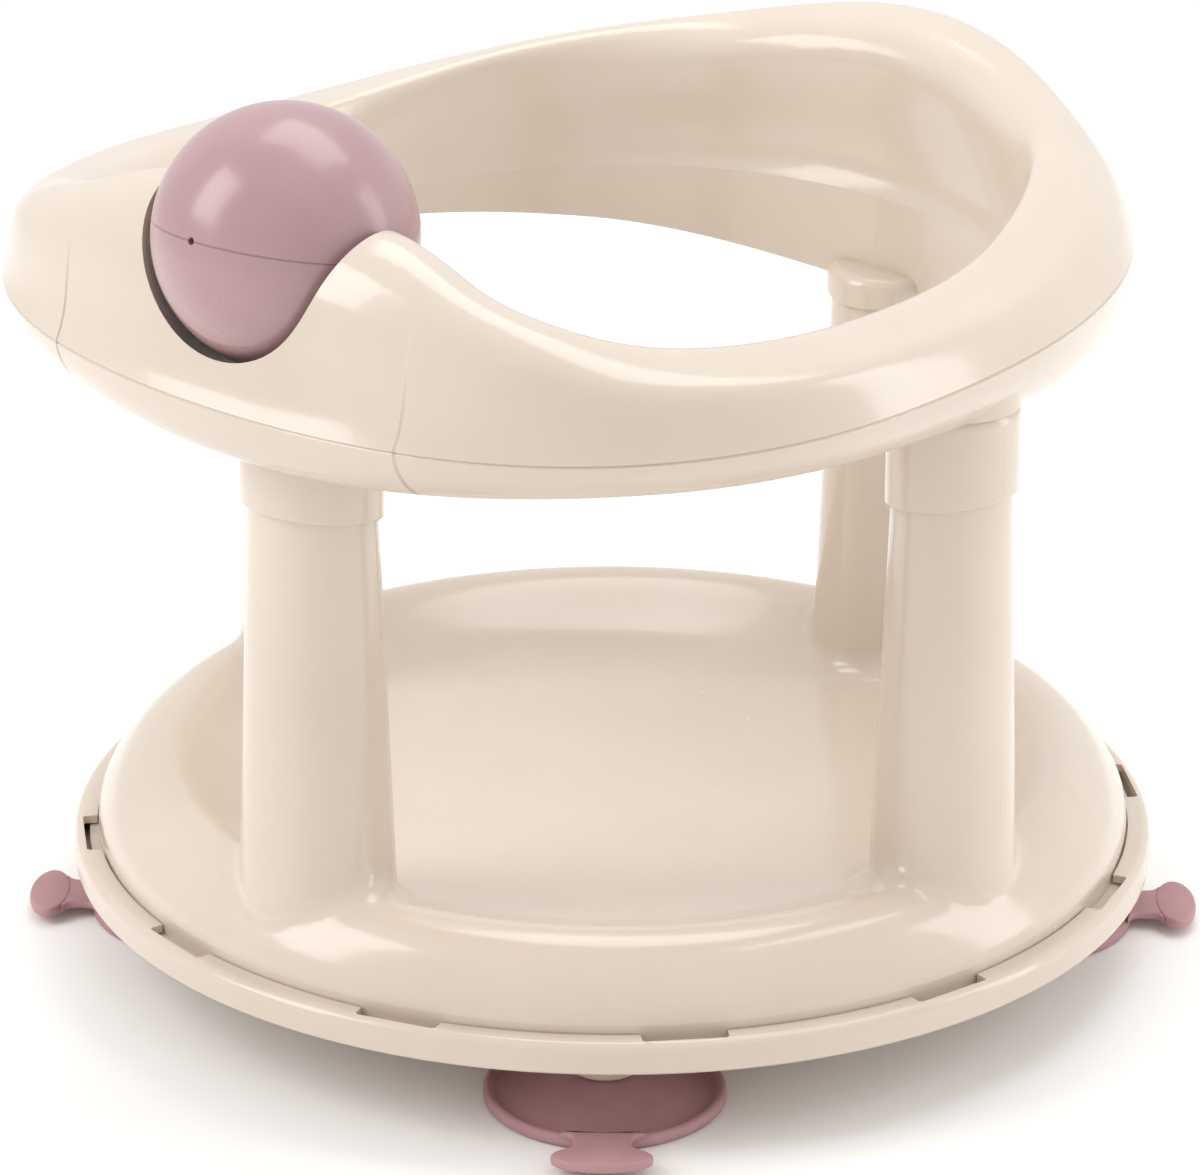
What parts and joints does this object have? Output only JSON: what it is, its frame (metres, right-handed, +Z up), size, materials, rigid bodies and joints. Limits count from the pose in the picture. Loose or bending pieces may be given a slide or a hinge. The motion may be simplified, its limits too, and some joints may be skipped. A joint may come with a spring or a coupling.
{
  "type": "swivel baby bath seat",
  "caption": "Round bath seat on suction cups: a swivelling dished seat with posts that carry a hollow ring with a raised back and a spinning toy ball in front.",
  "frame": {"origin": "centre of the outline's box, on the floor under the suction cups", "axes": "+Z up, -Y towards the toy ball at the front, +X to the right seen from the front"},
  "size_m": [0.33, 0.341, 0.2938],
  "materials": {
    "body_plastic": "glossy",
    "ball_plastic": "glossy",
    "cup_rubber": "satin",
    "screw_steel": "satin"
  },
  "bodies": {
    "tray": {"base_tray": "body_plastic", "suction_cup_front_right": "cup_rubber", "suction_cup_rear_right": "cup_rubber", "suction_cup_rear_left": "cup_rubber", "suction_cup_front_left": "cup_rubber"},
    "seat": {"seat_shell": "body_plastic", "ring_lower_shell": "body_plastic", "ring_upper_shell": "body_plastic", "ring_shell_screws": "screw_steel", "post_screws": "screw_steel", "ball_axle": "body_plastic", "axle_keeper_right": "body_plastic", "axle_keeper_left": "body_plastic", "keeper_screws": "screw_steel"},
    "ball": {"ball_upper_half": "ball_plastic", "ball_lower_half": "ball_plastic"}
  },
  "joints": [
    {"name": "seat_swivel", "type": "hinge", "parent": "tray", "child": "seat", "pos_m": [0, 0.0055, 0.0325], "axis": [0, 0, 1], "continuous": true},
    {"name": "ball_spin", "type": "hinge", "parent": "seat", "child": "ball", "pos_m": [0, -0.1327, 0.256], "axis": [1, 0, 0], "continuous": true}
  ]
}
